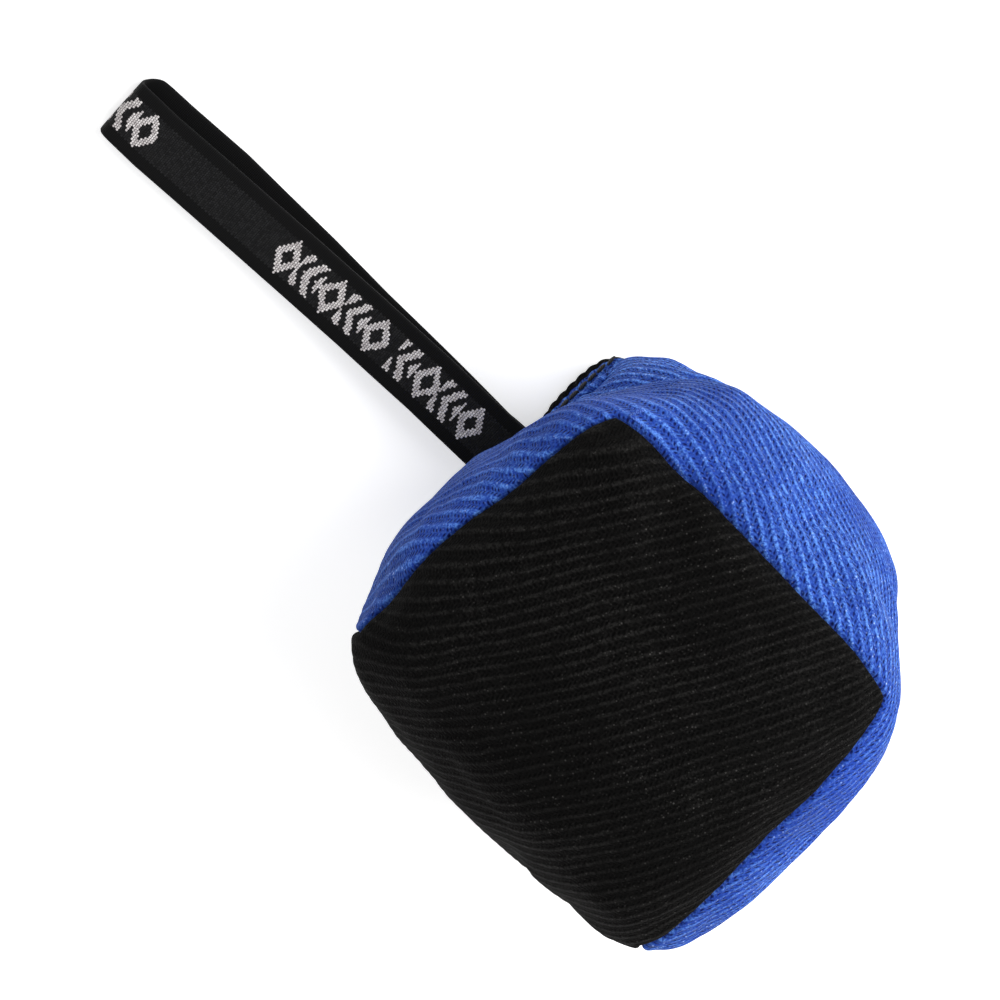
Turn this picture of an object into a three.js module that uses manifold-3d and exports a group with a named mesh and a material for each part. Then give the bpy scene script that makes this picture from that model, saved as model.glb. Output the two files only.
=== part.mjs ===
// Training bumper: a stuffed canvas cube made of two interlocking three-panel strips,
// with a flat webbing loop caught in the closing seam. Units are millimetres, +Z is up.
//
// Layout: the black strip covers the top (+Z), the +Y side and the bottom (-Z).
// The blue strip covers the +X, -Y and -X sides. The closing seam is the +X/-Z edge.
// The origin is the centre of the flat patch the cube rests on.

import * as THREE from 'three';
import { mergeVertices } from 'three/addons/utils/BufferGeometryUtils.js';
import Module from 'manifold-3d';

// ---- Driving dimensions ----

// Stuffed cube
const SEAM_CHORD = 95; // straight distance between neighbouring seam corners
const CROWN = { // how far each panel bulges beyond its own corners, by the side it faces
  x: { plus: 17, minus: 20 },
  y: { plus: 19, minus: 22 },
  z: { plus: 21, minus: 21 },
};
const REST_FLATTENING = 3; // how far the bottom crown is pressed flat by standing
const EDGE_EXPONENT = 9; // superellipsoid exponent: higher is sharper edges
const EDGE_BOW = 0.023; // outward bow of each edge at its middle, as a share of the half size
const CROWN_EXPONENT = 3; // higher makes a fuller, flatter-topped crown

// Uneven stuffing: how far each top corner sits from an even cube's, in x, y and z
const TOP_CORNERS = [
  { corner: [1, 1], shift: [5, -7, -2] },
  { corner: [1, -1], shift: [-4, -2, 0] },
  { corner: [-1, -1], shift: [-9, 1, 1] },
  { corner: [-1, 1], shift: [-11, 0, 2] },
];

// Materials
const FABRIC = 1.8; // canvas thickness
const WEBBING = 1.2; // webbing thickness
const WEBBING_WIDTH = 20;
const THREAD = 0.8; // thread diameter
const CLEARANCE = 0.3; // gap between pieces that touch on the real object

// Closing seam: both strips turn outwards into a narrow fin
const FIN_LENGTH = 6.5;
const FIN_REACH = 0.96; // share of the seam's half length that has a fin
const STITCH_FROM_ROOT = 2.2; // topstitch line, measured from the edge towards the fin's fold
const STITCH_PITCH = 3.6;
const STITCH_DIP = 0.25; // how far the thread rises between the needle holes

// Handle
const HANDLE_OFFSET = 0; // handle's centre along the closing seam, from the seam's middle
const HANDLE_REACH = 158.5; // hinge to the far fold
const HANDLE_YAW = THREE.MathUtils.degToRad(2.1); // how far the loop lies round towards +Y
const HANDLE_BELLY = 11; // greatest distance between the loop's two legs, centre to centre
const HANDLE_FOLD = 6.4; // distance between the legs where they meet the far fold
const HANDLE_TAIL = 14; // webbing length sewn inside the cube, beyond the edge

// Loose thread end at one top corner
const THREAD_END_LENGTH = 7;

// ---- Derived dimensions ----

const CORNER_SHRINK = 3 ** (-1 / EDGE_EXPONENT);
const CUBE_HALF = SEAM_CHORD / 2 / CORNER_SHRINK;
const CENTRE_HEIGHT = SEAM_CHORD / 2 + CROWN.z.minus - REST_FLATTENING;
const LAYER_SCALE = SEAM_CHORD / 2 + CROWN.x.plus; // radius at which a depth is exact

// Layers under the cover, as depths below its outside
const THREAD_DEPTH = FABRIC + CLEARANCE + THREAD;
const FILLING_DEPTH = THREAD_DEPTH + THREAD + CLEARANCE;

// The two webbing tails lie on each other between the fin's two plies
const STACK_HALF = WEBBING + CLEARANCE / 2;
const HINGE_FROM_FIN = FABRIC + 2 * CLEARANCE;

// Mesh fineness
const PANEL_STEPS = 16;
const FIN_STEPS = 44;
const FILLING_STEPS = 14;
const LEG_STEPS = 26;
const FOLD_STEPS = 10;

// ---- Shape of the stuffed cube ----

const fade = (t) => 1 - Math.abs(t) ** CROWN_EXPONENT;

// How a coordinate grows away from the corners: a = its value, b and c = the other two.
function swell(axis, a, b, c) {
  const crown = a < 0 ? CROWN[axis].minus : CROWN[axis].plus;
  const crownShare = (SEAM_CHORD / 2 + crown) / CUBE_HALF - 1 - 2 * EDGE_BOW;
  return a * (1 + EDGE_BOW * (fade(b) + fade(c)) + crownShare * fade(b) * fade(c));
}

// Maps a point q on the surface of the cube [-1, 1]^3 to the stuffed shape, centred on the
// cube's centre. A depth moves the point inwards, to the layer that far below the outside.
function stuffed(q, depth = 0) {
  const rounding = (Math.abs(q.x) ** EDGE_EXPONENT
    + Math.abs(q.y) ** EDGE_EXPONENT
    + Math.abs(q.z) ** EDGE_EXPONENT) ** (-1 / EDGE_EXPONENT);
  const point = new THREE.Vector3(
    swell('x', q.x, q.y, q.z),
    swell('y', q.y, q.x, q.z),
    swell('z', q.z, q.x, q.y),
  );
  point.multiplyScalar(CUBE_HALF * rounding);
  for (const { corner, shift } of TOP_CORNERS) {
    const weight = (1 + corner[0] * q.x) * (1 + corner[1] * q.y) * (1 + q.z) / 8;
    point.addScaledVector(new THREE.Vector3(...shift), weight);
  }
  point.z = Math.max(point.z, -CENTRE_HEIGHT);
  return point.multiplyScalar(1 - depth / LAYER_SCALE);
}

const lift = (point) => point.setZ(point.z + CENTRE_HEIGHT);

// ---- Geometry helpers ----

// A solid between two surfaces given on the same grid, closed along the grid's four borders.
// Seen from outside, i runs to the right and j runs up.
function slab(outside, inside, stepsI, stepsJ) {
  const positions = [];
  const triangles = [];
  const side = (stepsI + 1) * (stepsJ + 1);
  for (const surface of [outside, inside]) {
    for (let i = 0; i <= stepsI; i += 1) {
      for (let j = 0; j <= stepsJ; j += 1) {
        positions.push(...surface(i / stepsI, j / stepsJ).toArray());
      }
    }
  }
  const at = (i, j, layer) => layer * side + i * (stepsJ + 1) + j;
  const quad = (a, b, c, d) => triangles.push(a, b, c, a, c, d);
  for (let i = 0; i < stepsI; i += 1) {
    for (let j = 0; j < stepsJ; j += 1) {
      quad(at(i, j, 0), at(i + 1, j, 0), at(i + 1, j + 1, 0), at(i, j + 1, 0));
      quad(at(i, j, 1), at(i, j + 1, 1), at(i + 1, j + 1, 1), at(i + 1, j, 1));
    }
    quad(at(i, 0, 0), at(i, 0, 1), at(i + 1, 0, 1), at(i + 1, 0, 0));
    quad(at(i, stepsJ, 0), at(i + 1, stepsJ, 0), at(i + 1, stepsJ, 1), at(i, stepsJ, 1));
  }
  for (let j = 0; j < stepsJ; j += 1) {
    quad(at(0, j, 0), at(0, j + 1, 0), at(0, j + 1, 1), at(0, j, 1));
    quad(at(stepsI, j, 0), at(stepsI, j, 1), at(stepsI, j + 1, 1), at(stepsI, j + 1, 0));
  }
  const geometry = new THREE.BufferGeometry();
  geometry.setAttribute('position', new THREE.Float32BufferAttribute(positions, 3));
  geometry.setIndex(triangles);
  return geometry;
}

// A round cord along a curve.
function cord(curve, diameter, steps) {
  const section = new THREE.Shape();
  section.absarc(0, 0, diameter / 2, 0, 2 * Math.PI);
  return new THREE.ExtrudeGeometry(section, { steps, extrudePath: curve, curveSegments: 3 });
}

const wasm = await Module();
wasm.setup();

function toSolid(geometry) {
  const bare = geometry.clone();
  bare.deleteAttribute('normal');
  bare.deleteAttribute('uv');
  const merged = mergeVertices(bare, 1e-4);
  return new wasm.Manifold(new wasm.Mesh({
    numProp: 3,
    vertProperties: new Float32Array(merged.attributes.position.array),
    triVerts: new Uint32Array(merged.index.array),
  }));
}

function fromSolid(solid) {
  const mesh = solid.getMesh();
  const geometry = new THREE.BufferGeometry();
  geometry.setAttribute('position', new THREE.BufferAttribute(mesh.vertProperties, 3));
  geometry.setIndex(new THREE.BufferAttribute(mesh.triVerts, 1));
  return geometry;
}

// ---- Frame of the closing seam ----

// Fin coordinates: out (away from the cube), along (+Y) and over (towards the blue side),
// measured from the cube's centre. The seam's edge is at the same distance on both strips.
const FIN_OUT = new THREE.Vector3(1, 0, -1).normalize();
const FIN_OVER = new THREE.Vector3(1, 0, 1).normalize();
const ALONG = new THREE.Vector3(0, 1, 0);

const finPoint = (out, along, over) => new THREE.Vector3()
  .addScaledVector(FIN_OUT, out)
  .addScaledVector(ALONG, along)
  .addScaledVector(FIN_OVER, over);

// The closing edge at t, which runs from -1 at the -Y corner to 1 at the +Y corner.
function closingEdge(t) {
  const point = stuffed(new THREE.Vector3(1, t, -1));
  return { along: point.y, out: point.dot(FIN_OUT) };
}

// Half the distance between the fin's plies, which open up around the two webbing tails.
function plyGap(along) {
  const reach = Math.abs(along - HANDLE_OFFSET) - WEBBING_WIDTH / 2 - CLEARANCE;
  const opening = THREE.MathUtils.smoothstep(-reach, -WEBBING_WIDTH / 4, 0);
  return CLEARANCE / 2 + opening * (STACK_HALF + CLEARANCE / 2);
}

// The fin narrows to nothing just short of both corners.
const finLength = (t) => FIN_LENGTH * (1 - Math.abs(t / FIN_REACH) ** 8);

function handleEdge() {
  let low = -1;
  let high = 1;
  for (let step = 0; step < 40; step += 1) {
    const middle = (low + high) / 2;
    if (closingEdge(middle).along < HANDLE_OFFSET) low = middle;
    else high = middle;
  }
  return low;
}

const HANDLE_T = handleEdge();
const HANDLE_EDGE_OUT = closingEdge(HANDLE_T).out;
const FIN_TIP_OUT = HANDLE_EDGE_OUT + finLength(HANDLE_T);
const HINGE = lift(finPoint(FIN_TIP_OUT + HINGE_FROM_FIN, HANDLE_OFFSET, 0));

// A box in fin coordinates.
function finBox(outFrom, outTo, alongCentre, width, overCentre, thickness) {
  const box = new THREE.BoxGeometry(outTo - outFrom, width, thickness);
  box.applyMatrix4(new THREE.Matrix4().makeBasis(FIN_OUT, ALONG, FIN_OVER));
  const centre = finPoint((outFrom + outTo) / 2, alongCentre, overCentre);
  box.translate(centre.x, centre.y, centre.z + CENTRE_HEIGHT);
  return box;
}

// ---- Cover strips ----

// Where the strips meet, each stops half a clearance short of the edge.
const SEAM_MARGIN = CLEARANCE / Math.SQRT2 / CUBE_HALF / CORNER_SHRINK;

// Centre line of a three-panel strip around three sides of a square, from u = 0 to 1.
// Returns the two cube coordinates: first runs 1, 1 to -1, -1 and second 1 to -1 to 1.
function threeSides(u) {
  const start = SEAM_MARGIN / 6;
  const travel = 3 * (start + u * (1 - 2 * start));
  if (travel <= 1) return { first: 1, second: 1 - 2 * travel };
  if (travel <= 2) return { first: 3 - 2 * travel, second: -1 };
  return { first: -1, second: 2 * travel - 5 };
}

const across = (v) => (2 * v - 1) * (1 - SEAM_MARGIN);

function blueCube(u, v) {
  const { first, second } = threeSides(1 - u);
  return new THREE.Vector3(first, second, across(v));
}

function blackCube(u, v) {
  const { first, second } = threeSides(u);
  return new THREE.Vector3(-across(v), -second, first);
}

function coverShell(cube) {
  const outside = (u, v) => lift(stuffed(cube(u, v)));
  const inside = (u, v) => lift(stuffed(cube(u, v), FABRIC));
  return slab(outside, inside, 3 * PANEL_STEPS, PANEL_STEPS);
}

// One ply of the fin. The side is 1 for the blue strip and -1 for the black one.
function finPly(side) {
  const root = -FABRIC;
  const surface = (extra) => (u, v) => {
    const t = side * (1 - 2 * u) * FIN_REACH;
    const edge = closingEdge(t);
    const out = edge.out + root + v * (finLength(t) - root);
    const roundedFold = extra * (1 - 0.5 * v ** 6);
    return lift(finPoint(out, edge.along, side * (plyGap(edge.along) + roundedFold)));
  };
  return slab(surface(FABRIC), surface(0), FIN_STEPS, 6);
}

const tailSlot = toSolid(finBox(
  HANDLE_EDGE_OUT - HANDLE_TAIL - CLEARANCE,
  FIN_TIP_OUT + CLEARANCE,
  HANDLE_OFFSET,
  WEBBING_WIDTH + 2 * CLEARANCE,
  0,
  2 * (STACK_HALF + CLEARANCE),
));

function coverStrip(cube, side) {
  return fromSolid(toSolid(coverShell(cube)).add(toSolid(finPly(side))).subtract(tailSlot));
}

// ---- Filling ----

function filling() {
  const block = new THREE.BoxGeometry(2, 2, 2, FILLING_STEPS, FILLING_STEPS, FILLING_STEPS);
  const position = block.attributes.position;
  for (let i = 0; i < position.count; i += 1) {
    const point = lift(stuffed(new THREE.Vector3().fromBufferAttribute(position, i), FILLING_DEPTH));
    position.setXYZ(i, point.x, point.y, point.z);
  }
  return fromSolid(toSolid(block).subtract(tailSlot));
}

// ---- Threads ----

// Seven of the eight seamed edges are sewn from inside, in one run between the two ends
// of the closing seam.
function innerSeamThread() {
  const corners = [
    [1, -1, -1], [-1, -1, -1], [-1, 1, -1], [-1, 1, 1],
    [-1, -1, 1], [1, -1, 1], [1, 1, 1], [1, 1, -1],
  ].map((corner) => new THREE.Vector3(...corner));
  const stepsPerEdge = 12;
  const points = [];
  for (let edge = 0; edge < corners.length - 1; edge += 1) {
    for (let step = 0; step < stepsPerEdge; step += 1) {
      const q = new THREE.Vector3().lerpVectors(corners[edge], corners[edge + 1], step / stepsPerEdge);
      points.push(lift(stuffed(q, THREAD_DEPTH)));
    }
  }
  const curve = new THREE.CatmullRomCurve3(points.slice(1));
  return cord(curve, THREAD, points.length * 2);
}

// A topstitch thread on one face of the fin: it touches down at each needle hole.
function closingStitch(side) {
  const reach = 0.9;
  const seamLength = 2 * closingEdge(reach).along;
  const stitches = Math.round(seamLength / STITCH_PITCH);
  const stepsPerStitch = 6;
  const points = [];
  for (let step = 0; step <= stitches * stepsPerStitch; step += 1) {
    const t = reach * (2 * step / (stitches * stepsPerStitch) - 1);
    const edge = closingEdge(t);
    const rise = STITCH_DIP * (1 - Math.cos(2 * Math.PI * step / stepsPerStitch));
    const over = plyGap(edge.along) + FABRIC + CLEARANCE + THREAD / 2 + rise;
    points.push(lift(finPoint(edge.out + STITCH_FROM_ROOT, edge.along, side * over)));
  }
  return cord(new THREE.CatmullRomCurve3(points), THREAD, points.length);
}

// A short end of seam thread standing out of the corner between the top and two blue sides.
function threadEnd() {
  const corner = lift(stuffed(new THREE.Vector3(1, -1, 1), -THREAD));
  const outwards = new THREE.Vector3(1, -1, 1).normalize();
  const sideways = new THREE.Vector3(-1, -1, 0).normalize();
  const points = [0, 0.35, 0.7, 1].map((share) => corner.clone()
    .addScaledVector(outwards, CLEARANCE + THREAD_END_LENGTH * 0.45 * Math.sin(2.4 * share))
    .addScaledVector(sideways, THREAD_END_LENGTH * share));
  return cord(new THREE.CatmullRomCurve3(points), THREAD, 12);
}

// ---- Handle ----

// Centre line of the loop in the vertical plane, measured from the hinge: out along the
// upper leg, round the far fold and back along the lower leg, which lies on the floor.
function loopCentreLine() {
  const floor = WEBBING / 2 - HINGE.z + 0.1;
  const half = (WEBBING + CLEARANCE) / 2;
  const foldX = HANDLE_REACH - HANDLE_FOLD / 2 - WEBBING / 2;
  // The first control point's height puts the belly at this share of the leg.
  const bellyAt = 0.4;
  const rootShare = (1 - bellyAt) ** 3;
  const controlShare = 3 * bellyAt * (1 - bellyAt) ** 2;
  const foldShare = 1 - rootShare - controlShare;
  const control = (HANDLE_BELLY - rootShare * (half - floor) - foldShare * HANDLE_FOLD) / controlShare;
  const upper = new THREE.CubicBezierCurve(
    new THREE.Vector2(0, half),
    new THREE.Vector2(foldX * 0.3, floor + control),
    new THREE.Vector2(foldX * 0.75, floor + HANDLE_FOLD),
    new THREE.Vector2(foldX, floor + HANDLE_FOLD),
  );
  const fold = new THREE.EllipseCurve(
    foldX, floor + HANDLE_FOLD / 2, HANDLE_FOLD / 2, HANDLE_FOLD / 2, Math.PI / 2, -Math.PI / 2, true,
  );
  const lower = new THREE.CubicBezierCurve(
    new THREE.Vector2(foldX, floor),
    new THREE.Vector2(foldX * 0.35, floor),
    new THREE.Vector2(foldX * 0.16, floor),
    new THREE.Vector2(0, -half),
  );
  return [[upper, LEG_STEPS], [fold, FOLD_STEPS], [lower, LEG_STEPS]];
}

// Points beside the centre line, on its left for a positive distance.
function beside(distance) {
  const points = [];
  for (const [curve, steps] of loopCentreLine()) {
    for (let step = 0; step <= steps; step += 1) {
      const tangent = curve.getTangent(step / steps);
      const normal = new THREE.Vector2(-tangent.y, tangent.x);
      points.push(curve.getPoint(step / steps).addScaledVector(normal, distance));
    }
  }
  return points.filter((point, i) => i === 0 || point.distanceTo(points[i - 1]) > 0.05);
}

function handleLoop() {
  const rootJoin = 2 * WEBBING;
  const outline = new THREE.Shape(beside(WEBBING / 2).filter((point) => point.x > 0.2));
  outline.absarc(0, 0, STACK_HALF, -0.7 * Math.PI, -1.3 * Math.PI, true);
  outline.closePath();
  // The hole runs the other way round from the outline.
  const hole = beside(-WEBBING / 2).filter((point) => point.x > rootJoin).reverse();
  outline.holes.push(new THREE.Path(hole));
  const loop = new THREE.ExtrudeGeometry(outline, {
    depth: WEBBING_WIDTH, bevelEnabled: false, curveSegments: 8,
  });
  loop.rotateX(Math.PI / 2);
  loop.translate(0, WEBBING_WIDTH / 2, 0);
  loop.rotateZ(HANDLE_YAW);
  loop.translate(HINGE.x, HINGE.y, HINGE.z);
  return loop;
}

// One sewn-in end of the webbing. The side is 1 for the upper end and -1 for the lower.
function handleTail(side) {
  return finBox(
    HANDLE_EDGE_OUT - HANDLE_TAIL,
    FIN_TIP_OUT,
    HANDLE_OFFSET,
    WEBBING_WIDTH,
    side * (WEBBING + CLEARANCE) / 2,
    WEBBING,
  );
}

// ---- Assembly ----

const MATERIALS = {
  black_canvas: { color: 0x1c1b1b, roughness: 0.9 },
  blue_canvas: { color: 0x1f45b4, roughness: 0.85 },
  fibre_fill: { color: 0xe6e4de, roughness: 1 },
  black_thread: { color: 0x121212, roughness: 0.7 },
  blue_thread: { color: 0x2a55c8, roughness: 0.7 },
  black_webbing: { color: 0x17171a, roughness: 0.75 },
};

const assembly = new THREE.Group();
assembly.name = 'training_bumper';

function place(name, geometry, look) {
  const mesh = new THREE.Mesh(geometry, new THREE.MeshStandardMaterial(MATERIALS[look]));
  mesh.name = name;
  mesh.material.name = look;
  assembly.add(mesh);
}

place('black_cover_strip', coverStrip(blackCube, -1), 'black_canvas');
place('blue_cover_strip', coverStrip(blueCube, 1), 'blue_canvas');
place('fibre_filling', filling(), 'fibre_fill');
place('inner_seam_thread', innerSeamThread(), 'black_thread');
place('closing_stitch_blue_side', closingStitch(1), 'black_thread');
place('closing_stitch_black_side', closingStitch(-1), 'black_thread');
place('corner_thread_end', threadEnd(), 'blue_thread');
place('handle_tail_upper', handleTail(1), 'black_webbing');
place('handle_tail_lower', handleTail(-1), 'black_webbing');
place('handle_loop', handleLoop(), 'black_webbing');

export default assembly;
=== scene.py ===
import math

import bmesh
import bpy
import numpy as np
from mathutils import Matrix, Vector


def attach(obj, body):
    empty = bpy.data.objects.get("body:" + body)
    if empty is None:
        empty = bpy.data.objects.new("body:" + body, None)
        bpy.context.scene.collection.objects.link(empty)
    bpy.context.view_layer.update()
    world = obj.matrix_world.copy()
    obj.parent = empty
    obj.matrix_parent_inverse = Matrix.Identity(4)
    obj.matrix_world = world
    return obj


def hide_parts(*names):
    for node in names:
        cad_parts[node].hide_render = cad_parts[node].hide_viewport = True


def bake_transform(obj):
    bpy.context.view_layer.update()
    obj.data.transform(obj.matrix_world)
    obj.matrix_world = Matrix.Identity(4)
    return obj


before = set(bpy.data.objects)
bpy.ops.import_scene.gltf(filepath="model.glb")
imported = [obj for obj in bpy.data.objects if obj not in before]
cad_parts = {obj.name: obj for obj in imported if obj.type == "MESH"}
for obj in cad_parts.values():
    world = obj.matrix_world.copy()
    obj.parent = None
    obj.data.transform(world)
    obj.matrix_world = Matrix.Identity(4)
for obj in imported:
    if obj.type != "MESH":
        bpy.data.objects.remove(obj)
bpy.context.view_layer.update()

MM = 0.001
scene = bpy.context.scene

# ---------------------------------------------------------------- camera

CAMERA_DISTANCE = 0.9
CAMERA_AZIMUTH = math.radians(-79.3)   # of the direction from the cube to the camera
CAMERA_ELEVATION = math.radians(76.4)
CAMERA_ROLL = math.radians(-146.2)
SENSOR_WIDTH = 36
LENS_FACTOR = 3.229                    # focal length in frame widths
CUBE_IN_FRAME = (0.1295, -0.1319)      # cube's centre, in frame widths right and up

CUBE_CENTRE = np.array([0.0, 0.0, 65.5]) * MM


def place_camera():
    """The camera looks down past the cube, so that the handle is in the frame too."""
    back = Vector((
        math.cos(CAMERA_ELEVATION) * math.cos(CAMERA_AZIMUTH),
        math.cos(CAMERA_ELEVATION) * math.sin(CAMERA_AZIMUTH),
        math.sin(CAMERA_ELEVATION),
    ))
    level = Vector((0, 0, 1)).cross(back).normalized()
    upright = back.cross(level)
    right = level * math.cos(CAMERA_ROLL) + upright * math.sin(CAMERA_ROLL)
    up = upright * math.cos(CAMERA_ROLL) - level * math.sin(CAMERA_ROLL)
    aim = (-back - right * (CUBE_IN_FRAME[0] / LENS_FACTOR)
           - up * (CUBE_IN_FRAME[1] / LENS_FACTOR)).normalized()
    side = aim.cross(up).normalized()
    top = side.cross(aim)
    camera = bpy.data.objects.new("camera", bpy.data.cameras.new("camera"))
    camera.data.sensor_width = SENSOR_WIDTH
    camera.data.lens = SENSOR_WIDTH * LENS_FACTOR
    camera.data.clip_start = 0.05
    axes = Matrix((side, top, -aim)).transposed().to_4x4()
    camera.matrix_world = Matrix.Translation(Vector(CUBE_CENTRE) + back * CAMERA_DISTANCE) @ axes
    scene.collection.objects.link(camera)
    scene.camera = camera


place_camera()

# ---------------------------------------------------------------- mesh helpers


def read_points(mesh):
    """The mesh's points as rows."""
    points = np.empty(len(mesh.vertices) * 3)
    mesh.vertices.foreach_get("co", points)
    return points.reshape(-1, 3)


def write_points(mesh, points):
    mesh.vertices.foreach_set("co", points.ravel())
    mesh.update()


def read_normals(mesh):
    normals = np.empty(len(mesh.vertices) * 3)
    mesh.vertices.foreach_get("normal", normals)
    return normals.reshape(-1, 3)


def new_object(name, mesh):
    obj = bpy.data.objects.new(name, mesh)
    scene.collection.objects.link(obj)
    return obj


def smooth_faces(mesh):
    mesh.polygons.foreach_set("use_smooth", np.ones(len(mesh.polygons), bool))
    mesh.update()


def mesh_with_modifiers(obj):
    """The object's mesh with its modifiers applied, as a new mesh."""
    graph = bpy.context.evaluated_depsgraph_get()
    return bpy.data.meshes.new_from_object(
        obj.evaluated_get(graph), preserve_all_data_layers=True, depsgraph=graph)


def bm_object(name, bm):
    """A smooth object from the bmesh, which is freed."""
    mesh = bpy.data.meshes.new(name)
    bm.to_mesh(mesh)
    bm.free()
    smooth_faces(mesh)
    return new_object(name, mesh)


def tube(bm, line, radius, sides):
    """Adds a round closed cord along the line's points, with the radius given once or per point."""
    line = np.asarray(line, float)
    radius = np.broadcast_to(radius, len(line))
    ahead = np.gradient(line, axis=0)
    ahead /= np.linalg.norm(ahead, axis=1)[:, None]
    flank = np.cross(ahead[0], (0.31, 0.52, 0.79))
    ring = None
    for place, way, thick in zip(line, ahead, radius):
        flank = flank - way * (flank @ way)
        flank /= np.linalg.norm(flank)
        made = bmesh.ops.create_circle(
            bm, segments=sides, radius=float(thick), cap_ends=ring is None,
            matrix=Matrix.Translation(Vector(place))
            @ Matrix((flank, np.cross(way, flank), way)).transposed().to_4x4())["verts"]
        if ring is not None:
            edges = [bm.edges.get((verts[k], verts[k - 1]))
                     for verts in (ring, made) for k in range(sides)]
            bmesh.ops.bridge_loops(bm, edges=edges)
        ring = made
    last = bm.faces.new(ring)
    island = {last}
    grow = [last]
    while grow:
        for edge in grow.pop().edges:
            for face in edge.link_faces:
                if face not in island:
                    island.add(face)
                    grow.append(face)
    bmesh.ops.recalc_face_normals(bm, faces=list(island))


def smoothstep(x, low, high):
    """0 below low, 1 above high and a smooth rise between."""
    t = np.clip((x - low) / (high - low), 0, 1)
    return t * t * (3 - 2 * t)


# ---------------------------------------------------------------- shape of the stuffed cube

SEAM_CHORD = 95 * MM
CROWNS = {0: (15.5, 18), 1: (17, 20), 2: (20, 20)}   # plus side, minus side, in millimetres
EDGE_EXPONENT = 9
EDGE_BOW = 0.023
CROWN_EXPONENT = 3
CUBE_HALF = SEAM_CHORD / 2 * 3 ** (1 / EDGE_EXPONENT)
CORNER_SHIFTS = {                                  # in millimetres
    (1, 1, 1): (5, -7, -2),
    (1, -1, 1): (-4, -2, 0),
    (-1, -1, 1): (-9, 1, 1),
    (-1, 1, 1): (-11, 0, 2),
}
LOW_CORNER_SHIFT = (6.5, -0.5, 0)                  # of the low corner at the closing seam's -Y end

# The eight seamed edges, each as two cube coordinates that are fixed along it
SEAM_EDGES = [
    {0: 1, 2: 1}, {1: -1, 2: 1}, {0: -1, 2: 1},
    {0: 1, 2: -1}, {1: -1, 2: -1}, {0: -1, 2: -1},
    {0: 1, 1: 1}, {0: -1, 1: 1},
]
PANEL = 118 * MM                                   # a panel's nominal length and width, cut flat
BLUE_PANELS = (0, 1, 2)
BLACK_PANELS = (3, 4, 5)


def fade(t):
    """1 in a panel's middle, falling to 0 at its edges."""
    return 1 - np.abs(t) ** CROWN_EXPONENT


def stuffed(q):
    """Points of the cube [-1, 1] cubed, as rows, moved to the stuffed shape."""
    rounding = (np.abs(q) ** EDGE_EXPONENT).sum(1) ** (-1 / EDGE_EXPONENT)
    out = np.empty_like(q)
    for axis in range(3):
        b, c = [k for k in range(3) if k != axis]
        plus, minus = CROWNS[axis]
        crown = np.where(q[:, axis] < 0, minus, plus) * MM
        share = (SEAM_CHORD / 2 + crown) / CUBE_HALF - 1 - 2 * EDGE_BOW
        grown = (1 + EDGE_BOW * (fade(q[:, b]) + fade(q[:, c]))
                 + share * fade(q[:, b]) * fade(q[:, c]))
        out[:, axis] = q[:, axis] * grown * rounding * CUBE_HALF
    for corner, shift in CORNER_SHIFTS.items():
        weight = np.prod((1 + np.array(corner) * q) / 2, axis=1)
        out += weight[:, None] * np.array(shift) * MM
    weight = (1 + q[:, 0]) / 2 * ((1 - q[:, 2]) / 2) ** 3 * smoothstep(-q[:, 1], 0, 0.4)
    out += weight[:, None] * np.array(LOW_CORNER_SHIFT) * MM
    out += CUBE_CENTRE
    out[:, 2] = np.maximum(out[:, 2], 0)
    return out


def edge_distance(q, edges):
    """Distance over the fabric from each cube point to the nearest of the edges, in metres."""
    nearest = np.full(len(q), 9.0)
    for edge in edges:
        (a, sign_a), (b, sign_b) = edge.items()
        nearest = np.minimum(nearest, np.hypot(1 - sign_a * q[:, a], 1 - sign_b * q[:, b]))
    return nearest * PANEL / 2


def strip_place(q, panel):
    """Place along and across the strip that each panel belongs to, in panels from its end.

    Panels are numbered 2 * axis + (1 on the plus side): 5, 3, 4 make the black strip and
    0, 2, 1 the blue one."""
    x, y, z = q.T
    along = np.select(
        [panel == 5, panel == 3, panel == 4, panel == 0, panel == 2, panel == 1],
        [(1 + y) / 2, 1 + (1 - z) / 2, 2 + (1 - y) / 2,
         (1 - y) / 2, 1 + (1 + x) / 2, 2 + (1 + y) / 2],
    )
    across = np.where(np.isin(panel, BLACK_PANELS), (1 - x) / 2, (1 + z) / 2)
    return along, across


def laid_flat(points, corners, along, across, is_blue):
    """Cloth coordinates of each face corner in metres, measured over the fabric from the
    middle of its strip."""
    steps = PANEL_CUTS * 4
    cloth = np.empty((len(corners), 2))
    i = np.rint(along * steps).astype(int)
    j = np.rint(across * steps).astype(int)
    for blue in (False, True):
        mine = is_blue == blue
        place = np.zeros((3 * steps + 1, steps + 1, 3))
        place[i[mine], j[mine]] = points[corners[mine]]
        for axis, middle in ((0, 3 * steps // 2), (1, steps // 2)):
            gaps = np.linalg.norm(np.diff(place, axis=axis), axis=2)
            run = np.insert(np.cumsum(gaps, axis=axis), 0, 0, axis=axis)
            run -= np.take(run, [middle], axis=axis)
            cloth[mine, axis] = run[i[mine], j[mine]]
    return cloth


# ---------------------------------------------------------------- covers

PANEL_CUTS = 44
SEAM_ROLL = 2.2 * MM        # radius of each fabric's turn into the seam
SEAM_SWELL = 1.3 * MM       # how far the fabric stands up beside the seam
SEAM_SWELL_WIDTH = 14 * MM
RIB_PITCH = 3.05 * MM
RIB_ANGLE = math.radians(28)
RIB_HEIGHTS = {False: 0.2 * MM, True: 0.5 * MM}     # of the black strip and the blue one
RIB_WANDER = 0.4 * MM
CLOTH_FRAMES = 20
CLOTH_REACH = 1.6 * MM      # the furthest that settling moves the fabric

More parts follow.
